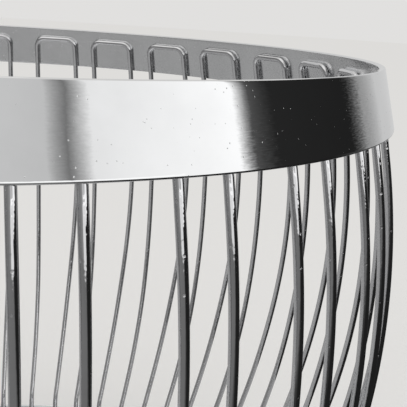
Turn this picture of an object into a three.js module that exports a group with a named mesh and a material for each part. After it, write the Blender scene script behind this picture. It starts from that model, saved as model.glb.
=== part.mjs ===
// Round wire basket of bright plated steel: 27 hairpin wires welded inside a flat strip
// rim at the top and a strip hoop at the foot, round a flanged bottom plate.
// Millimetres, +Z up. The origin is the centre of the underside, on the surface it stands on.
import * as THREE from "three";

// Rim: a hoop of round-edged strip, a little wider at its lower edge (middle of the strip)
const HEIGHT = 200;
const STRIP = 1.8;
const RIM_DEPTH = 17;
const RIM_UPPER_RADIUS = 125.1;
const RIM_LOWER_RADIUS = 129.1;

// Wire, and the clearance left where it is welded to a strip
const WIRE = 2.2;
const WELD_GAP = 0.3;

// Hairpins: each is one wire bent to an arch at the rim, with two legs down to the foot
const ARCH_DROP = 5.1;
const ARCH_BEND = 3.5;
// Degrees from -Y towards +X at which the hairpins are welded: set by hand, so not quite even
const HAIRPIN_ANGLES = [-1.5, 12, 25.2, 39, 53.9, 68.8, 83.7, 96.8, 110.1, 124.1, 136.9, 149.8, 162.1, 176,
  189, 202.1, 215.1, 228.1, 241.1, 254.2, 267.2, 280.3, 293.3, 306.3, 319.4, 332.4, 345.4];
// Degrees between the two legs of a hairpin, at depths below the upper edge
const SPREAD = [[0, 8.2], [30, 8.25], [55, 8.36], [73, 8.36], [90, 8.13], [110, 7.65], [130, 7.08],
  [160, 6.6], [HEIGHT, 6.4]];

// Meridian of the legs: two arcs that meet at the belly, then a bend to upright at the foot
const BELLY_RADIUS = 133.8;
const BELLY_DEPTH = 72.5;
const LOWER_ARC = 231;
const FOOT_BEND = 18;
const FOOT_BEND_TOP = 22.5;
const WIRE_END = 1.5;

// Foot: a strip hoop outside the wires and a bottom plate with an upturned flange inside them
const FOOT_DEPTH = 12;
const PLATE = 1.2;
const FLANGE_DEPTH = 10;
const PLATE_CORNER = 2;

const HOOP_SEGMENTS = 72;
const STRIP_EDGE = [90, 30, -30, -90];
const DEGREE = Math.PI / 180;

// A regular six-sided section with the same area as the round wire
const SECTION_RADIUS = (WIRE / 2) * Math.sqrt(Math.PI / (3 * Math.sin(Math.PI / 3)));

const polished = new THREE.MeshStandardMaterial({ color: 0xcfd2d6, metalness: 1, roughness: 0.06 });
const wireSteel = new THREE.MeshStandardMaterial({ color: 0xc9cbcf, metalness: 1, roughness: 0.12 });
const plateSteel = new THREE.MeshStandardMaterial({ color: 0xc2c5c9, metalness: 1, roughness: 0.2 });

const group = new THREE.Group();

function addMesh(name, geometry, material) {
  const mesh = new THREE.Mesh(geometry, material);
  mesh.name = name;
  group.add(mesh);
  return mesh;
}

// Turns a closed profile of [radius, z] points about the Z axis
function turned(profile, segments) {
  const points = profile.map(([radius, z]) => new THREE.Vector2(radius, z));
  const geometry = new THREE.LatheGeometry(points, segments);
  geometry.rotateX(Math.PI / 2);
  return geometry;
}

// Profile of a round-edged strip hoop between the middles of its two edges, lower then upper
function stripProfile(lower, upper) {
  const lean = Math.atan2(upper[0] - lower[0], upper[1] - lower[1]);
  const half = STRIP / 2;
  const edge = (centre, turn) => STRIP_EDGE.map((degrees) => {
    const angle = (degrees + turn) * DEGREE - lean;
    return [centre[0] + half * Math.cos(angle), centre[1] + half * Math.sin(angle)];
  });
  const profile = [...edge(upper, 90), ...edge(lower, 270)].reverse();
  return [...profile, profile[0]];
}

// Radius of the wire's middle where it lies along the inside of the rim
function rimWireRadius(z) {
  const lowerZ = HEIGHT - RIM_DEPTH + STRIP / 2;
  const upperZ = HEIGHT - STRIP / 2;
  const share = (z - lowerZ) / (upperZ - lowerZ);
  const middle = RIM_LOWER_RADIUS + share * (RIM_UPPER_RADIUS - RIM_LOWER_RADIUS);
  return middle - STRIP / 2 - WELD_GAP - SECTION_RADIUS;
}

// Radius of the wire's middle on the arc below the belly
function lowerArcRadius(z) {
  const fall = HEIGHT - BELLY_DEPTH - z;
  return BELLY_RADIUS - LOWER_ARC + Math.sqrt(LOWER_ARC ** 2 - fall ** 2);
}

// Radius of the wire's middle on the arc from the rim down to the belly
function upperArcRadius(z) {
  const start = HEIGHT - RIM_DEPTH;
  const belly = HEIGHT - BELLY_DEPTH;
  const run = start - belly;
  const rise = BELLY_RADIUS - rimWireRadius(start);
  const arc = (run ** 2 + rise ** 2) / (2 * rise);
  return BELLY_RADIUS - arc + Math.sqrt(arc ** 2 - (z - belly) ** 2);
}

// The bend to upright: it starts along the lower arc and ends at the foot radius
const bendSlope = Math.asin((HEIGHT - BELLY_DEPTH - FOOT_BEND_TOP) / LOWER_ARC);
const bendCentreZ = FOOT_BEND_TOP - FOOT_BEND * Math.sin(bendSlope);
const FOOT_RADIUS = lowerArcRadius(FOOT_BEND_TOP) - FOOT_BEND * (1 - Math.cos(bendSlope));

function wireRadius(z) {
  if (z > HEIGHT - RIM_DEPTH) {
    return rimWireRadius(z);
  }
  if (z > HEIGHT - BELLY_DEPTH) {
    return upperArcRadius(z);
  }
  if (z > FOOT_BEND_TOP) {
    return lowerArcRadius(z);
  }
  const above = Math.max(z - bendCentreZ, 0);
  return FOOT_RADIUS + FOOT_BEND - Math.sqrt(FOOT_BEND ** 2 - above ** 2);
}

// Half the angle between the two legs at a height
function halfSpread(z) {
  const depth = HEIGHT - z;
  const next = Math.max(SPREAD.findIndex(([limit]) => limit >= depth), 1);
  const [d0, s0] = SPREAD[next - 1];
  const [d1, s1] = SPREAD[next];
  return ((s0 + ((s1 - s0) * (depth - d0)) / (d1 - d0)) / 2) * DEGREE;
}

// A point of the hairpin that faces -Y, at an angle to one side of its middle and a height
function wirePoint(angle, z) {
  const radius = wireRadius(z);
  return new THREE.Vector3(radius * Math.sin(angle), -radius * Math.cos(angle), z);
}

// Right half of the hairpin from the wire's end at the foot up to the middle of the arch
function hairpinHalf() {
  const archZ = HEIGHT - ARCH_DROP;
  const bendZ = archZ - ARCH_BEND;
  const heights = [WIRE_END, bendCentreZ, 18.5, FOOT_BEND_TOP, 40, 60, 82, 105, 127.5, 145, 160, 172.5,
    HEIGHT - RIM_DEPTH, bendZ];
  const half = heights.map((z) => wirePoint(halfSpread(z), z));
  const bendAngle = ARCH_BEND / wireRadius(bendZ);
  for (const degrees of [30, 60, 90]) {
    const turn = degrees * DEGREE;
    const z = bendZ + ARCH_BEND * Math.sin(turn);
    half.push(wirePoint(halfSpread(bendZ) - bendAngle * (1 - Math.cos(turn)), z));
  }
  return half;
}

// A line through given points, which an extrusion steps along point by point
class WireLine extends THREE.Curve {
  constructor(points) {
    super();
    this.points = points;
  }

  getUtoTmapping(u) {
    return u;
  }

  getPoint(t, target = new THREE.Vector3()) {
    const index = Math.round(t * (this.points.length - 1));
    return target.copy(this.points[index]);
  }

  getTangent(t, target = new THREE.Vector3()) {
    const last = this.points.length - 1;
    const index = Math.round(t * last);
    const here = this.points[index];
    const into = here.clone().sub(this.points[Math.max(index - 1, 0)]).normalize();
    const out = this.points[Math.min(index + 1, last)].clone().sub(here).normalize();
    return target.copy(into).add(out).normalize();
  }
}

function hairpinGeometry() {
  const right = hairpinHalf();
  const left = right.map((point) => new THREE.Vector3(-point.x, point.y, point.z)).reverse();
  const line = new WireLine([...right, ...left]);
  const section = new THREE.Shape();
  for (let corner = 0; corner < 6; corner += 1) {
    const angle = ((corner + 0.5) * Math.PI) / 3;
    const place = corner === 0 ? "moveTo" : "lineTo";
    section[place](SECTION_RADIUS * Math.cos(angle), SECTION_RADIUS * Math.sin(angle));
  }
  return new THREE.ExtrudeGeometry(section, {
    steps: line.points.length - 1,
    extrudePath: line,
    bevelEnabled: false,
  });
}

const rimLowerEdge = [RIM_LOWER_RADIUS, HEIGHT - RIM_DEPTH + STRIP / 2];
const rimUpperEdge = [RIM_UPPER_RADIUS, HEIGHT - STRIP / 2];
addMesh("rim_band", turned(stripProfile(rimLowerEdge, rimUpperEdge), HOOP_SEGMENTS), polished);

const footMiddle = FOOT_RADIUS + SECTION_RADIUS + WELD_GAP + STRIP / 2;
const footLowerEdge = [footMiddle, STRIP / 2];
const footUpperEdge = [footMiddle, FOOT_DEPTH - STRIP / 2];
addMesh("base_band", turned(stripProfile(footLowerEdge, footUpperEdge), HOOP_SEGMENTS), polished);

const flangeOuter = FOOT_RADIUS - SECTION_RADIUS - WELD_GAP;
const flangeInner = flangeOuter - PLATE;
const cornerStep = PLATE_CORNER * (1 - Math.SQRT1_2);
const innerStep = (PLATE_CORNER - PLATE) * (1 - Math.SQRT1_2);
addMesh("bottom_plate", turned([
  [0, 0],
  [flangeOuter - PLATE_CORNER, 0],
  [flangeOuter - cornerStep, cornerStep],
  [flangeOuter, PLATE_CORNER],
  [flangeOuter, FLANGE_DEPTH],
  [flangeInner, FLANGE_DEPTH],
  [flangeInner, PLATE_CORNER],
  [flangeInner - innerStep, PLATE + innerStep],
  [flangeInner - (PLATE_CORNER - PLATE), PLATE],
  [0, PLATE],
], HOOP_SEGMENTS), plateSteel);

const hairpin = hairpinGeometry();
HAIRPIN_ANGLES.forEach((degrees, index) => {
  const name = `hairpin_wire_${String(index + 1).padStart(2, "0")}`;
  addMesh(name, hairpin, wireSteel).rotation.z = degrees * DEGREE;
});

export default group;
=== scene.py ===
import math

import bpy
import numpy as np
from mathutils import Matrix, Vector


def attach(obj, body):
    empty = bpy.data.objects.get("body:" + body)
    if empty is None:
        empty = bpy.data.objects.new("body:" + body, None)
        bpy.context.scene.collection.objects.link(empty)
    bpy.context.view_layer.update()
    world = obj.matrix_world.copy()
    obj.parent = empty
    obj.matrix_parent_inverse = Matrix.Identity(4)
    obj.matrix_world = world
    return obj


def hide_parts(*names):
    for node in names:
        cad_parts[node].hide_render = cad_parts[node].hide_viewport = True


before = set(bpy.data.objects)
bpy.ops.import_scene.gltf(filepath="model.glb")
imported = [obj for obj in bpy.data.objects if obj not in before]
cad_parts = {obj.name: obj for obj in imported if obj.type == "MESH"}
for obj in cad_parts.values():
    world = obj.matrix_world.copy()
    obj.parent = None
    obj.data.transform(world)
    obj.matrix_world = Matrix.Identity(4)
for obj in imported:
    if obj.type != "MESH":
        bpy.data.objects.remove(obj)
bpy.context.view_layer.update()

MM = 0.001
scene = bpy.context.scene
scene.view_settings.view_transform = "Standard"
scene.view_settings.look = "None"

# ---------------------------------------------------------------- sizes, in millimetres, as in the CAD
HEIGHT = 200.0
STRIP = 1.8
RIM_LOW = (129.1, 183.9)
RIM_HIGH = (125.1, 199.1)
# the modelled strip ends a little lower than the CAD's, so that its rounded edge stays inside the CAD box
RIM_MODEL_HIGH = (125.14, 198.95)
WIRE = 2.2
BELLY_RADIUS = 133.8
BELLY_DEPTH = 72.5
RIM_DEPTH = 17.0
LOWER_ARC = 231.0
FOOT_BEND = 18.0
FOOT_BEND_TOP = 22.5
WIRE_END = 1.5
ARCH_DROP = 5.1
ARCH_BEND = 3.5
FOOT_DEPTH = 12.0
PLATE = 1.2
FLANGE_DEPTH = 10.0
PLATE_CORNER = 2.0
FLANGE_ROLL = 0.6
SHEET_CENTRE = 0.6
CAD_GAP = 0.3
WIRE_INSET = 0.04
SEAT_GAP = 0.06
WELD_HALF_ANGLE = 4.1
RIM_WELD_Z = 191.0
FOOT_WELD_Z = 6.5
FLANGE_WELD_Z = 5.0
BEAD = (0.95, 0.34, 1.9)
RIM_FOOT_Z = HEIGHT - RIM_DEPTH
BELLY_Z = HEIGHT - BELLY_DEPTH
CAD_SECTION = WIRE / 2 * math.sqrt(math.pi / (3 * math.sin(math.pi / 3)))
ANGLES = [-1.5, 12, 25.2, 39, 53.9, 68.8, 83.7, 96.8, 110.1, 124.1, 136.9, 149.8, 162.1, 176,
          189, 202.1, 215.1, 228.1, 241.1, 254.2, 267.2, 280.3, 293.3, 306.3, 319.4, 332.4, 345.4]
SPREAD = [(0, 8.2), (30, 8.25), (55, 8.36), (73, 8.36), (90, 8.13), (110, 7.65), (130, 7.08),
          (160, 6.6), (HEIGHT, 6.4)]


# ---------------------------------------------------------------- mesh makers
def new_mesh(name, verts, faces, uvs):
    """A smooth mesh object from millimetre points, with one UV pair per face corner, in metres."""
    mesh = bpy.data.meshes.new(name)
    mesh.from_pydata((np.asarray(verts) * MM).tolist(), [], faces)
    layer = mesh.uv_layers.new(name="surface")
    layer.data.foreach_set("uv", (np.asarray(uvs, dtype=float) * MM).ravel())
    mesh.shade_smooth()
    mesh.update()
    obj = bpy.data.objects.new(name, mesh)
    scene.collection.objects.link(obj)
    return obj


def turned(name, profile, segments, ripple=None, flat=False):
    """Turns a profile of (radius, z) points round Z. ripple(angle, z, outward) moves points radially.
    A flat sheet's profile runs from the axis out and back, its ends are filled, and its UVs are x and y."""
    profile = np.asarray(profile, dtype=float)
    count = len(profile)
    step = np.hypot(*np.diff(np.vstack([profile, profile[:1]]), axis=0).T)
    along = np.concatenate([[0.0], np.cumsum(step)])
    angles = np.arange(segments) * 2 * math.pi / segments
    tangent = np.roll(profile, -1, axis=0) - np.roll(profile, 1, axis=0)
    outward = tangent[:, 1] / np.maximum(np.hypot(tangent[:, 0], tangent[:, 1]), 1e-9)
    verts = np.empty((segments, count, 3))
    for i, a in enumerate(angles):
        radius = profile[:, 0].copy()
        if ripple is not None:
            radius = radius + ripple(a, profile[:, 1], outward)
        verts[i] = np.stack([radius * math.sin(a), -radius * math.cos(a), profile[:, 1]], axis=1)
    mean = profile[:, 0].max()
    faces, uvs = [], []
    last = count - 1 if flat else count
    for i in range(segments):
        j = (i + 1) % segments
        u0, u1 = angles[i] * mean, (angles[i] + 2 * math.pi / segments) * mean
        for k in range(last):
            m = (k + 1) % count
            faces.append((i * count + k, j * count + k, j * count + m, i * count + m))
            uvs += [(u0, along[k]), (u1, along[k]), (u1, along[k + 1]), (u0, along[k + 1])]
    verts = verts.reshape(-1, 3)
    if flat:
        faces.append(tuple(i * count for i in reversed(range(segments))))
        faces.append(tuple(i * count + last for i in range(segments)))
        uvs = [tuple(verts[k][:2]) for face in faces for k in face]
    return new_mesh(name, verts, faces, uvs)


def tube(path, radius, sides):
    """Points, faces and UVs of a round tube along a path, with slightly chamfered flat ends."""
    path = [Vector(p) for p in path]
    tangents = []
    for i, p in enumerate(path):
        a = path[max(i - 1, 0)]
        b = path[min(i + 1, len(path) - 1)]
        tangents.append((b - a).normalized())
    normal = tangents[0].orthogonal().normalized()
    rings = []
    run = 0.0
    for i, p in enumerate(path):
        if i:
            turn = tangents[i - 1].rotation_difference(tangents[i])
            normal = (turn @ normal).normalized()
            run += (path[i] - path[i - 1]).length
        rings.append((p, tangents[i], normal.copy(), radius, run))
    chamfer = 0.25
    first, final = rings[0], rings[-1]
    rings = ([(first[0] - first[1] * chamfer, first[1], first[2], radius - chamfer, first[4] - chamfer)]
             + rings
             + [(final[0] + final[1] * chamfer, final[1], final[2], radius - chamfer, final[4] + chamfer)])
    verts, faces, uvs = [], [], []
    for p, t, n, r, _ in rings:
        b = t.cross(n)
        for s in range(sides):
            a = 2 * math.pi * s / sides
            verts.append(tuple(p + n * (r * math.cos(a)) + b * (r * math.sin(a))))
    width = 2 * math.pi * radius / sides
    for i in range(len(rings) - 1):
        v0, v1 = rings[i][4], rings[i + 1][4]
        for s in range(sides):
            q = (s + 1) % sides
            faces.append((i * sides + s, i * sides + q, (i + 1) * sides + q, (i + 1) * sides + s))
            uvs += [(s * width, v0), ((s + 1) * width, v0), ((s + 1) * width, v1), (s * width, v1)]
    faces.append(tuple(reversed(range(sides))))
    uvs += [(s * width, 0) for s in range(sides)]
    base = (len(rings) - 1) * sides
    faces.append(tuple(base + s for s in range(sides)))
    uvs += [(s * width, 0) for s in range(sides)]
    return verts, faces, uvs


def bead(centre, axes, sizes, around=14, up=8):
    """Points, faces and UVs of a small ellipsoid, for the metal that a spot weld squeezes out."""
    x, y, z = [Vector(a).normalized() for a in axes]
    c = Vector(centre)
    verts = [tuple(c + z * -sizes[2])]
    for i in range(1, up):
        t = math.pi * i / up - math.pi / 2
        for s in range(around):
            a = 2 * math.pi * s / around
            verts.append(tuple(c + x * (sizes[0] * math.cos(t) * math.cos(a))
                               + y * (sizes[1] * math.cos(t) * math.sin(a)) + z * (sizes[2] * math.sin(t))))
    verts.append(tuple(c + z * sizes[2]))
    faces = []
    for s in range(around):
        q = (s + 1) % around
        faces.append((0, 1 + q, 1 + s))
        for i in range(up - 2):
            a = 1 + i * around
            faces.append((a + s, a + q, a + around + q, a + around + s))
        top = 1 + (up - 2) * around
        faces.append((top + s, top + q, len(verts) - 1))
    uvs = [(0.3 * k, 0.2 * k) for face in faces for k in range(len(face))]
    return verts, faces, uvs


def joined(name, pieces, turn):
    """One object from several (points, faces, UVs), turned about Z by an angle in degrees."""
    verts, faces, uvs = [], [], []
    for v, f, uv in pieces:
        start = len(verts)
        verts += v
        faces += [tuple(start + k for k in face) for face in f]
        uvs += uv
    spin = np.array(Matrix.Rotation(math.radians(turn), 3, "Z"))
    return new_mesh(name, np.asarray(verts) @ spin.T, faces, uvs)


# ---------------------------------------------------------------- strip hoops
def strip_profile(low, high, corner, bow=0.0, bow_run=2.2, inner=0.15):
    """Profile of a flat strip between the middles of its edges. corner rounds the outer edges, and the
    outer face falls away by bow over the last bow_run of its height."""
    low, high = np.array(low), np.array(high)
    u = (high - low) / np.hypot(*(high - low))
    n = np.array([u[1], -u[0]])
    half = STRIP / 2
    start = low - u * half
    length = np.hypot(*(high - low)) + STRIP
    pts = []

    def put(t, across):
        pts.append(start + u * t + n * across)

    def outer(t):
        edge = max(bow_run - t, t - (length - bow_run), 0.0) / bow_run
        return half - bow * edge ** 2

    for d in np.linspace(90, 0, 8):
        a = math.radians(d)
        put(corner * (1 - math.sin(a)), outer(corner) - corner * (1 - math.cos(a)))
    for t in np.linspace(corner, length - corner, 48)[1:]:
        put(t, outer(t))
    for d in np.linspace(0, 90, 8)[1:]:
        a = math.radians(d)
        put(length - corner * (1 - math.sin(a)), outer(length - corner) - corner * (1 - math.cos(a)))
    for d in np.linspace(0, 90, 5):
        a = math.radians(d)
        put(length - inner * (1 - math.cos(a)), -half + inner * (1 - math.sin(a)))
    for t in np.linspace(length - inner, inner, 16)[1:-1]:
        put(t, -half)
    for d in np.linspace(0, 90, 5):
        a = math.radians(d)
        put(inner * (1 - math.sin(a)), -half + inner * (1 - math.cos(a)))
    pts = np.array(pts)
    # counter-clockwise, so that the turned faces point outwards
    return pts if signed_area(pts) > 0 else pts[::-1]


def signed_area(pts):
    x, y = pts[:, 0], pts[:, 1]
    return 0.5 * float(np.sum(x * np.roll(y, -1) - np.roll(x, -1) * y))


rng = np.random.default_rng(7)
WAVES = [(int(k), float(rng.uniform(0, 2 * math.pi)), float(rng.uniform(0, 2 * math.pi)), float(amp))
         for k, amp in ((5, 0.020), (9, 0.014), (14, 0.010), (23, 0.0060), (37, 0.0032), (61, 0.0016))]
WELD_AT = []
for angle in ANGLES:
    for side in (-1, 1):
        WELD_AT.append(math.radians(angle + side * WELD_HALF_ANGLE))
WELD_AT = np.array(WELD_AT)


def rim_ripple(a, z, outward):
    """Small unevenness of the rolled strip, and a faint sink over each welded wire."""
    shift = np.zeros_like(z)
    for k, p, q, amp in WAVES:
        shift += amp * math.sin(k * a + p) * (1 + 0.5 * np.sin((z - 183) * 0.35 + q))
    near = np.abs((a - WELD_AT + math.pi) % (2 * math.pi) - math.pi).min() * 128
    sink = 0.010 * math.exp(-(near / 2.2) ** 2)
    face = np.clip(outward, 0, 1)
    return shift - 0.06 - sink * face * np.exp(-((z - 191.5) / 4.5) ** 2)


rim_points = strip_profile(RIM_LOW, RIM_MODEL_HIGH, corner=0.36, bow=0.045, bow_run=2.0)
rim = turned("rim_strip", rim_points, 900, rim_ripple)

# ---------------------------------------------------------------- wires
RIM_SLOPE = (RIM_HIGH[0] - RIM_LOW[0]) / (RIM_HIGH[1] - RIM_LOW[1])


def rim_middle(z):
    return RIM_LOW[0] + (z - RIM_LOW[1]) * RIM_SLOPE


def cad_rim_wire(z):
    return rim_middle(z) - STRIP / 2 - CAD_GAP - CAD_SECTION


def lower_arc(z):
    fall = BELLY_Z - z
    return BELLY_RADIUS - LOWER_ARC + math.sqrt(LOWER_ARC ** 2 - fall ** 2)


bend_slope = math.asin((BELLY_Z - FOOT_BEND_TOP) / LOWER_ARC)
bend_centre = FOOT_BEND_TOP - FOOT_BEND * math.sin(bend_slope)
FOOT_RADIUS = lower_arc(FOOT_BEND_TOP) - FOOT_BEND * (1 - math.cos(bend_slope))


def seat_radius(z):
    """Radius of the wire's middle where it lies against the rim strip."""
    return rim_middle(z) - (STRIP / 2 + WIRE / 2 + SEAT_GAP) / math.cos(math.atan(RIM_SLOPE))


SEAT_LIFT = seat_radius(RIM_FOOT_Z) - cad_rim_wire(RIM_FOOT_Z)


def full_radius(z):
    """Radius of the wire's middle. In the rim it lies against the strip, where the CAD keeps a gap."""
    if z > RIM_FOOT_Z:
        return seat_radius(z)
    if z > BELLY_Z:
        run = RIM_FOOT_Z - BELLY_Z
        rise = BELLY_RADIUS - cad_rim_wire(RIM_FOOT_Z)
        arc = (run ** 2 + rise ** 2) / (2 * rise)
        radius = BELLY_RADIUS - arc + math.sqrt(arc ** 2 - (z - BELLY_Z) ** 2)
        share = (z - BELLY_Z) / run
        return radius + SEAT_LIFT * share * share * (3 - 2 * share)
    if z > FOOT_BEND_TOP:
        return lower_arc(z)
    above = max(z - bend_centre, 0.0)
    return FOOT_RADIUS + FOOT_BEND - math.sqrt(FOOT_BEND ** 2 - above ** 2)


def wire_radius(z):
    return full_radius(z) - WIRE_INSET


def half_spread(z, extra):
    depth = HEIGHT - z
    xs, ys = zip(*SPREAD)
    return math.radians(float(np.interp(depth, xs, ys)) / 2 + extra)


def smooth(values, passes):
    values = np.array(values, dtype=float)
    for _ in range(passes):
        values[1:-1] = (values[:-2] + 2 * values[1:-1] + values[2:]) / 4
    return values


def hairpin_path(extra, arch):
    """Points of a hairpin that faces -Y, from the end of one leg over the arch to the other end."""
    arch_z = HEIGHT - ARCH_DROP + arch
    bend_z = arch_z - ARCH_BEND
    zs = np.concatenate([np.linspace(WIRE_END + 0.25, 24, 18), np.linspace(26, 180, 62),
                         np.linspace(182, bend_z, 9)])
    radii = smooth([wire_radius(z) for z in zs], 3)
    angles = smooth([half_spread(z, extra) for z in zs], 6)
    right = [(r * math.sin(a), -r * math.cos(a), z) for r, a, z in zip(radii, angles, zs)]
    turn_angle = ARCH_BEND / radii[-1]
    for d in np.linspace(0, 90, 13)[1:]:
        t = math.radians(d)
        z = bend_z + ARCH_BEND * math.sin(t)
        a = angles[-1] - turn_angle * (1 - math.cos(t))
        r = wire_radius(z)
        right.append((r * math.sin(a), -r * math.cos(a), z))
    flat = angles[-1] - turn_angle
    for a in np.linspace(flat, 0, 6)[1:]:
        r = wire_radius(arch_z)
        right.append((r * math.sin(a), -r * math.cos(a), arch_z))
    left = [(-x, y, z) for x, y, z in right[:-1]]
    return right + left[::-1]


wires = []
for index, angle in enumerate(ANGLES):
    extra = float(rng.normal(0, 0.035))
    arch = float(rng.uniform(-0.25, 0.25))
    path = hairpin_path(extra, arch)
    parts = [tube(path, WIRE / 2, 18)]
    # spot welds: on the rim strip half way up, on the foot strip outside and on the flange inside
    for side in (-1, 1):
        for z, outer in ((RIM_WELD_Z + float(rng.uniform(-0.8, 0.8)), True), (FOOT_WELD_Z, True),
                         (FLANGE_WELD_Z, False)):
            a = half_spread(z, extra) * side
            r = wire_radius(z) + (1 if outer else -1) * (WIRE / 2 + 0.1)
            out = Vector((math.sin(a), -math.cos(a), 0))
            side_dir = Vector((math.cos(a), math.sin(a), 0))
            lean = RIM_SLOPE if z > 100 else 0.0
            up = Vector((out.x * lean, out.y * lean, 1))
            parts.append(bead(out * r + Vector((0, 0, z)), (side_dir, out, up), BEAD))
    wire = joined(f"hairpin_{index + 1:02d}", parts, angle)
    wires.append(wire)

# ---------------------------------------------------------------- foot
foot_middle = FOOT_RADIUS + CAD_SECTION + CAD_GAP + STRIP / 2
foot_points = strip_profile((foot_middle, STRIP / 2 + 0.02), (foot_middle, FOOT_DEPTH - STRIP / 2),
                            corner=0.4, bow=0.08)


def foot_ripple(a, z, outward):
    shift = np.zeros_like(z)
    for k, p, q, amp in WAVES:
        shift += 0.6 * amp * math.sin(k * a + q) * (1 + 0.3 * np.sin(z * 0.4 + p))
    return shift - 0.05


foot = turned("foot_strip", foot_points, 720, foot_ripple)

flange_outer = FOOT_RADIUS - CAD_SECTION - CAD_GAP
plate_points = []
for r in np.linspace(SHEET_CENTRE, flange_outer - PLATE_CORNER, 34):
    plate_points.append((r, 0.01))
for d in np.linspace(0, 90, 9)[1:]:
    t = math.radians(d)
    plate_points.append((flange_outer - PLATE_CORNER * (1 - math.sin(t)),
                         PLATE_CORNER * (1 - math.cos(t)) + 0.01))
for z in np.linspace(PLATE_CORNER, FLANGE_DEPTH - FLANGE_ROLL, 8)[1:]:
    plate_points.append((flange_outer, z))
for d in np.linspace(0, 180, 11)[1:-1]:
    t = math.radians(d)
    plate_points.append((flange_outer - FLANGE_ROLL + FLANGE_ROLL * math.cos(t),
                         FLANGE_DEPTH - FLANGE_ROLL + 0.58 * math.sin(t)))
for z in np.linspace(FLANGE_DEPTH - FLANGE_ROLL, PLATE_CORNER, 8):
    plate_points.append((flange_outer - PLATE, z))
inner_corner = PLATE_CORNER - PLATE + 0.8
for d in np.linspace(0, 90, 9)[1:]:
    t = math.radians(d)
    plate_points.append((flange_outer - PLATE - inner_corner * (1 - math.cos(t)),
                         PLATE + inner_corner * (1 - math.sin(t))))
for r in np.linspace(flange_outer - PLATE - inner_corner, SHEET_CENTRE, 40)[1:]:
    plate_points.append((r, PLATE + 0.12 * math.exp(-((r - 40) / 30) ** 2)))
plate = turned("bottom_sheet", plate_points, 360, flat=True)

# ---------------------------------------------------------------- materials
def node(tree, kind, **inputs):
    made = tree.nodes.new(kind)
    for key, value in inputs.items():
        made.inputs[key.replace("_", " ")].default_value = value
    return made


def ramp(tree, source, low, high, at=(0.3, 0.7)):
    made = tree.nodes.new("ShaderNodeMapRange")
    made.inputs["From Min"].default_value = at[0]
    made.inputs["From Max"].default_value = at[1]
    made.inputs["To Min"].default_value = low
    made.inputs["To Max"].default_value = high
    tree.links.new(source, made.inputs["Value"])
    return made.outputs["Result"]


# roughness added on a strip's inner side, and where that side starts along the profile, in metres
DULL = 0.15
INNER_SIDE = 0.0186


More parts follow.
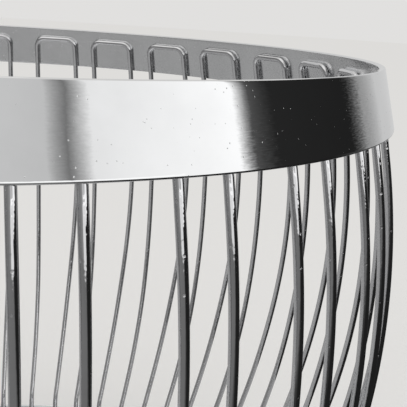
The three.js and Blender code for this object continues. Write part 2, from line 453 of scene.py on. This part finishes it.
def chrome(name, tint, rough, peel, grain, scratch, pit, stretch=(1, 1, 1), soil=0.08, comb=None,
           dull_past=None):
    """Bright plating: slight uneven tone, fine lengthwise scratches, orange peel and scattered pits.
    comb is (scale along, scale across, tilt, patch scale, patch offset) of fine rolling lines in patches.
    Past the V coordinate dull_past, which is a strip's inner side, the plating is smoother but duller."""
    made = bpy.data.materials.new(name)
    made.use_nodes = True
    tree = made.node_tree
    shader = tree.nodes["Principled BSDF"]
    shader.inputs["Metallic"].default_value = 1.0
    uv = tree.nodes.new("ShaderNodeUVMap")
    uv.uv_map = "surface"
    place = tree.nodes.new("ShaderNodeMapping")
    place.inputs["Scale"].default_value = stretch
    tree.links.new(uv.outputs["UV"], place.inputs["Vector"])

    tone = node(tree, "ShaderNodeTexNoise", Scale=55.0, Detail=4.0, Roughness=0.6)
    tree.links.new(uv.outputs["UV"], tone.inputs["Vector"])
    pits = node(tree, "ShaderNodeTexVoronoi", Scale=pit[0])
    pits.inputs["Randomness"].default_value = 1.0
    tree.links.new(uv.outputs["UV"], pits.inputs["Vector"])
    rare = node(tree, "ShaderNodeTexNoise", Scale=pit[0] * 0.31, Detail=2.0)
    tree.links.new(uv.outputs["UV"], rare.inputs["Vector"])
    dot = ramp(tree, pits.outputs["Distance"], 1.0, 0.0, at=(pit[1] * 0.4, pit[1]))
    gate = ramp(tree, rare.outputs["Fac"], 0.0, 1.0, at=(0.44, 0.50))
    spots = tree.nodes.new("ShaderNodeMath")
    spots.operation = "MULTIPLY"
    tree.links.new(dot, spots.inputs[0])
    tree.links.new(gate, spots.inputs[1])

    mix = tree.nodes.new("ShaderNodeMix")
    mix.data_type = "RGBA"
    mix.inputs["A"].default_value = (*[c * (1 - soil) for c in tint], 1)
    mix.inputs["B"].default_value = (*tint, 1)
    tree.links.new(ramp(tree, tone.outputs["Fac"], 0.0, 1.0), mix.inputs["Factor"])
    tree.links.new(mix.outputs["Result"], shader.inputs["Base Color"])

    lines = node(tree, "ShaderNodeTexNoise", Scale=scratch[0], Detail=3.0, Roughness=0.65)
    tree.links.new(place.outputs["Vector"], lines.inputs["Vector"])
    cloud = node(tree, "ShaderNodeTexNoise", Scale=90.0, Detail=3.0)
    tree.links.new(uv.outputs["UV"], cloud.inputs["Vector"])
    add = tree.nodes.new("ShaderNodeMath")
    add.operation = "ADD"
    tree.links.new(ramp(tree, lines.outputs["Fac"], 0.0, scratch[1], at=(0.58, 0.72)), add.inputs[0])
    tree.links.new(ramp(tree, cloud.outputs["Fac"], rough * 0.6, rough * 1.5), add.inputs[1])
    total = tree.nodes.new("ShaderNodeMath")
    total.operation = "MULTIPLY_ADD"
    total.inputs[1].default_value = 0.45
    tree.links.new(spots.outputs["Value"], total.inputs[0])
    tree.links.new(add.outputs["Value"], total.inputs[2])
    polished = None
    if dull_past is None:
        tree.links.new(total.outputs["Value"], shader.inputs["Roughness"])
    else:
        split = tree.nodes.new("ShaderNodeSeparateXYZ")
        tree.links.new(uv.outputs["UV"], split.inputs["Vector"])
        polished = ramp(tree, split.outputs["Y"], 1.0, 0.0, at=(dull_past - 0.0003, dull_past + 0.0003))
        dull = tree.nodes.new("ShaderNodeMath")
        dull.operation = "ADD"
        tree.links.new(total.outputs["Value"], dull.inputs[0])
        tree.links.new(ramp(tree, polished, DULL, 0.0, at=(0.0, 1.0)), dull.inputs[1])
        tree.links.new(dull.outputs["Value"], shader.inputs["Roughness"])

    skin = node(tree, "ShaderNodeTexNoise", Scale=peel[0], Detail=2.0, Roughness=0.5)
    tree.links.new(uv.outputs["UV"], skin.inputs["Vector"])
    bump_skin = node(tree, "ShaderNodeBump", Strength=1.0, Distance=peel[1])
    tree.links.new(skin.outputs["Fac"], bump_skin.inputs["Height"])
    if comb is not None:
        comb_place = tree.nodes.new("ShaderNodeMapping")
        comb_place.inputs["Scale"].default_value = (comb[0], comb[1], 1)
        tree.links.new(uv.outputs["UV"], comb_place.inputs["Vector"])
        rolled = node(tree, "ShaderNodeTexNoise", Scale=1.0, Detail=2.0, Roughness=0.6)
        tree.links.new(comb_place.outputs["Vector"], rolled.inputs["Vector"])
        patch_place = tree.nodes.new("ShaderNodeMapping")
        patch_place.inputs["Location"].default_value = (comb[4], 0, 0)
        tree.links.new(uv.outputs["UV"], patch_place.inputs["Vector"])
        patch = node(tree, "ShaderNodeTexNoise", Scale=comb[3], Detail=2.0, Roughness=0.5)
        tree.links.new(patch_place.outputs["Vector"], patch.inputs["Vector"])
        tilt = tree.nodes.new("ShaderNodeMath")
        tilt.operation = "MULTIPLY_ADD"
        tilt.inputs[2].default_value = 0.5
        tree.links.new(ramp(tree, rolled.outputs["Fac"], -comb[2], comb[2]), tilt.inputs[0])
        area = ramp(tree, patch.outputs["Fac"], 0.12, 1.0, at=(0.45, 0.56))
        if polished is not None:
            gated = tree.nodes.new("ShaderNodeMath")
            gated.operation = "MULTIPLY"
            tree.links.new(area, gated.inputs[0])
            tree.links.new(polished, gated.inputs[1])
            area = gated.outputs["Value"]
        tree.links.new(area, tilt.inputs[1])
        lean = node(tree, "ShaderNodeCombineXYZ", Y=0.5, Z=1.0)
        tree.links.new(tilt.outputs["Value"], lean.inputs["X"])
        turned_normal = node(tree, "ShaderNodeNormalMap", Strength=1.0)
        turned_normal.uv_map = "surface"
        tree.links.new(lean.outputs["Vector"], turned_normal.inputs["Color"])
        tree.links.new(turned_normal.outputs["Normal"], bump_skin.inputs["Normal"])
    grain_place = tree.nodes.new("ShaderNodeMapping")
    grain_place.inputs["Scale"].default_value = (grain[0], grain[1], 1)
    tree.links.new(uv.outputs["UV"], grain_place.inputs["Vector"])
    fine = node(tree, "ShaderNodeTexNoise", Scale=1.0, Detail=1.5, Roughness=0.6)
    tree.links.new(grain_place.outputs["Vector"], fine.inputs["Vector"])
    bump_fine = node(tree, "ShaderNodeBump", Strength=1.0, Distance=grain[2])
    tree.links.new(fine.outputs["Fac"], bump_fine.inputs["Height"])
    tree.links.new(bump_skin.outputs["Normal"], bump_fine.inputs["Normal"])
    bump_lines = node(tree, "ShaderNodeBump", Strength=1.0, Distance=scratch[2])
    tree.links.new(lines.outputs["Fac"], bump_lines.inputs["Height"])
    tree.links.new(bump_fine.outputs["Normal"], bump_lines.inputs["Normal"])
    bump_pits = node(tree, "ShaderNodeBump", Strength=1.0, Distance=pit[2])
    bump_pits.invert = True
    tree.links.new(spots.outputs["Value"], bump_pits.inputs["Height"])
    tree.links.new(bump_lines.outputs["Normal"], bump_pits.inputs["Normal"])
    tree.links.new(bump_pits.outputs["Normal"], shader.inputs["Normal"])
    return made


rim_chrome = chrome("rim_chrome", (0.84, 0.845, 0.85), 0.025, peel=(140.0, 1.1e-5),
                    grain=(800.0, 1900.0, 1.6e-6), scratch=(260.0, 0.05, 1.0e-6), pit=(720.0, 0.13, 6e-6),
                    stretch=(0.25, 2.2, 1), comb=(520.0, 3000.0, 0.0075, 16.0, 0.02),
                    dull_past=INNER_SIDE)
wire_chrome = chrome("wire_chrome", (0.80, 0.80, 0.81), 0.04, peel=(330.0, 4.5e-5),
                     grain=(1500.0, 700.0, 1.4e-5), scratch=(500.0, 0.06, 3e-6), pit=(420.0, 0.17, 2.5e-5),
                     stretch=(1.5, 0.25, 1), soil=0.14)
foot_chrome = chrome("foot_chrome", (0.83, 0.835, 0.84), 0.04, peel=(140.0, 1e-5),
                     grain=(420.0, 2600.0, 9e-6), scratch=(260.0, 0.06, 1.5e-6), pit=(260.0, 0.16, 1.5e-5),
                     stretch=(0.25, 2.2, 1))
sheet_chrome = chrome("sheet_chrome", (0.78, 0.785, 0.80), 0.16, peel=(60.0, 2e-5),
                      grain=(300.0, 1500.0, 1.2e-5), scratch=(160.0, 0.10, 4e-6), pit=(200.0, 0.15, 2e-5),
                      stretch=(0.2, 3.0, 1), soil=0.12)

rim.data.materials.append(rim_chrome)
foot.data.materials.append(foot_chrome)
plate.data.materials.append(sheet_chrome)
for wire in wires:
    wire.data.materials.append(wire_chrome)

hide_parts("rim_band")
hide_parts("base_band")
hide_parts("bottom_plate")
for index, wire in enumerate(wires):
    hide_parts(f"hairpin_wire_{index + 1:02d}")
for piece in [rim, foot, plate, *wires]:
    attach(piece, "root")


# ---------------------------------------------------------------- studio
def linear(c):
    return c / 12.92 if c <= 0.04045 else ((c + 0.055) / 1.055) ** 2.4


def hide_from_all_but_gloss(obj):
    obj.visible_camera = False
    obj.visible_diffuse = False
    obj.visible_transmission = False
    obj.visible_volume_scatter = False
    obj.visible_shadow = False


def glow_material(name, one_sided=False):
    made = bpy.data.materials.new(name)
    made.use_nodes = True
    tree = made.node_tree
    tree.nodes.clear()
    out = tree.nodes.new("ShaderNodeOutputMaterial")
    glow = tree.nodes.new("ShaderNodeEmission")
    tint = tree.nodes.new("ShaderNodeAttribute")
    tint.attribute_name = "tint"
    tree.links.new(tint.outputs["Color"], glow.inputs["Color"])
    if one_sided:
        clear = tree.nodes.new("ShaderNodeBsdfTransparent")
        side = tree.nodes.new("ShaderNodeNewGeometry")
        pick = tree.nodes.new("ShaderNodeMixShader")
        tree.links.new(side.outputs["Backfacing"], pick.inputs["Fac"])
        tree.links.new(glow.outputs["Emission"], pick.inputs[1])
        tree.links.new(clear.outputs["BSDF"], pick.inputs[2])
        tree.links.new(pick.outputs["Shader"], out.inputs["Surface"])
    else:
        tree.links.new(glow.outputs["Emission"], out.inputs["Surface"])
    made.cycles.emission_sampling = "NONE"
    return made


glow = glow_material("card_glow")
glow_above = glow_material("card_glow_above", one_sided=True)
CARD_GAIN = 1.2


def glow_card(name, verts, faces, greys, material):
    """A card that only reflections see, with one grey for each vertex."""
    tints = [[linear(grey) * CARD_GAIN] * 3 + [1.0] for grey in greys]
    mesh = bpy.data.meshes.new(name)
    mesh.from_pydata(verts, [], faces)
    layer = mesh.color_attributes.new("tint", "FLOAT_COLOR", "POINT")
    layer.data.foreach_set("color", np.array(tints).ravel())
    mesh.materials.append(material)
    obj = bpy.data.objects.new(name, mesh)
    scene.collection.objects.link(obj)
    hide_from_all_but_gloss(obj)


def card(name, stops, radius, bottom, tops):
    """An upright curved card round the object. stops are (degrees from -Y towards +X, grey), and tops
    holds one height, or a height for each stop."""
    corners, values = zip(*stops)
    if len(tops) == 1:
        tops = tops * len(stops)
    verts, faces, greys = [], [], []
    angles = np.arange(corners[0], corners[-1] + 1)
    for a in angles:
        t = math.radians(a)
        for z in (bottom, float(np.interp(a, corners, tops))):
            verts.append((radius * math.sin(t), -radius * math.cos(t), z))
            greys.append(float(np.interp(a, corners, values)))
    for i in range(len(angles) - 1):
        faces.append((2 * i, 2 * i + 2, 2 * i + 3, 2 * i + 1))
    glow_card(name, verts, faces, greys, glow)


def low_card(name, stops, r0, r1, heights):
    """A flat card above the floor, seen only in reflections and only from above. stops are (degrees, grey),
    and heights are (degrees, height)."""
    rows = 8
    turns = np.arange(stops[0][0], stops[-1][0] + 1, 5)
    verts, faces, greys = [], [], []
    for a in turns:
        t = math.radians(a)
        for row in range(rows):
            r = r0 * (r1 / r0) ** (row / (rows - 1))
            verts.append((r * math.sin(t), -r * math.cos(t), float(np.interp(a, *zip(*heights)))))
            greys.append(float(np.interp(a, *zip(*stops))))
    for i in range(len(turns) - 1):
        for row in range(rows - 1):
            a = i * rows + row
            faces.append((a, a + 1, a + rows + 1, a + rows))
    glow_card(name, verts, faces, greys, glow_above)


# The cards are neutral grey, but they aren't an independent studio: their places, heights and much of their
# brightness follow an earlier set that was fitted to the photograph.
WALL = [(-180, .78), (-150, .75), (-135, .42), (-60, .45), (-20, .55), (0, .78), (15, .75), (20, .45),
        (25, .90), (60, 1.0), (65, .30), (72, .14), (100, .12), (108, .55), (120, .75), (180, .78)]
TABLE = [(-155, .60), (-90, .45), (10, .42), (25, .12), (90, .12), (125, .50)]
TABLE_SIDE = [(-155, .45), (10, .42), (25, .12), (90, .12), (118, .40)]
FLOOR_CARD = [(-180, .60), (180, .60)]
TABLE_REACH = 1.5

card("studio_wall", WALL, 1.6, -0.001, [1.15])
card("softbox", [(-6, 1.0), (45, 1.0)], 1.49, 0.38, [0.45])
card("softbox_spill", [(-16, .87), (24, .87)], 1.485, 0.17, [0.38])

FLOOR_RADIUS, FLOOR_Z = 9.0, -0.0004
bpy.ops.mesh.primitive_circle_add(vertices=128, radius=FLOOR_RADIUS, fill_type="NGON",
                                  location=(0, 0, FLOOR_Z))
floor = bpy.context.object
floor.name = "studio_floor"
paper = bpy.data.materials.new("pale_paper")
paper.use_nodes = True
paper_shader = paper.node_tree.nodes["Principled BSDF"]
paper_shader.inputs["Base Color"].default_value = (0.965, 0.96, 0.95, 1)
paper_shader.inputs["Roughness"].default_value = 0.9
paper_shader.inputs["Specular IOR Level"].default_value = 0.0
floor.data.materials.append(paper)

low_card("table_top", TABLE, 0.142, TABLE_REACH, [(20, 0.12), (40, 0.05)])
low_card("floor_grey", FLOOR_CARD, foot_middle * MM + 0.004, TABLE_REACH, [(0, 0.0008), (1, 0.0008)])
card("table_side", TABLE_SIDE, TABLE_REACH, 0.05, [0.12, 0.14, 0.30, 0.25, 0.06])

world = scene.world or bpy.data.worlds.new("World")
scene.world = world
world.use_nodes = True
back = world.node_tree.nodes["Background"]
back.inputs["Color"].default_value = (0.752, 0.745, 0.735, 1)
back.inputs["Strength"].default_value = 1.0

key = bpy.data.lights.new("soft_key", "AREA")
key.shape = "DISK"
key.size = 1.6
key.energy = 1.5
key_obj = bpy.data.objects.new("soft_key", key)
key_obj.location = (-0.5, -0.3, 1.6)
key_obj.rotation_euler = (Vector((0, 0, 0.1)) - key_obj.location).to_track_quat("-Z", "Y").to_euler()
scene.collection.objects.link(key_obj)

# ---------------------------------------------------------------- camera
YAW, PITCH, ROLL = 0.305, 0.2478, -0.064
CAMERA_AT = (0, -0.25041, 0.21183)
FOCAL_LENGTH = 66.95
ahead = Vector((math.sin(YAW), math.cos(YAW), 0))
right = Vector((math.cos(YAW), -math.sin(YAW), 0))
down = Vector((0, 0, -1))
view_dir = ahead * math.cos(PITCH) + down * math.sin(PITCH)
tilt_down = down * math.cos(PITCH) - ahead * math.sin(PITCH)
cam_right = right * math.cos(ROLL) + tilt_down * math.sin(ROLL)
cam_down = tilt_down * math.cos(ROLL) - right * math.sin(ROLL)
lens = bpy.data.cameras.new("camera")
lens.sensor_width = 36.0
lens.lens = FOCAL_LENGTH
lens.clip_start = 0.01
lens.clip_end = 60
camera = bpy.data.objects.new("camera", lens)
place = Matrix((cam_right, -cam_down, -view_dir)).transposed().to_4x4()
place.translation = Vector(CAMERA_AT)
camera.matrix_world = place
scene.collection.objects.link(camera)
scene.camera = camera
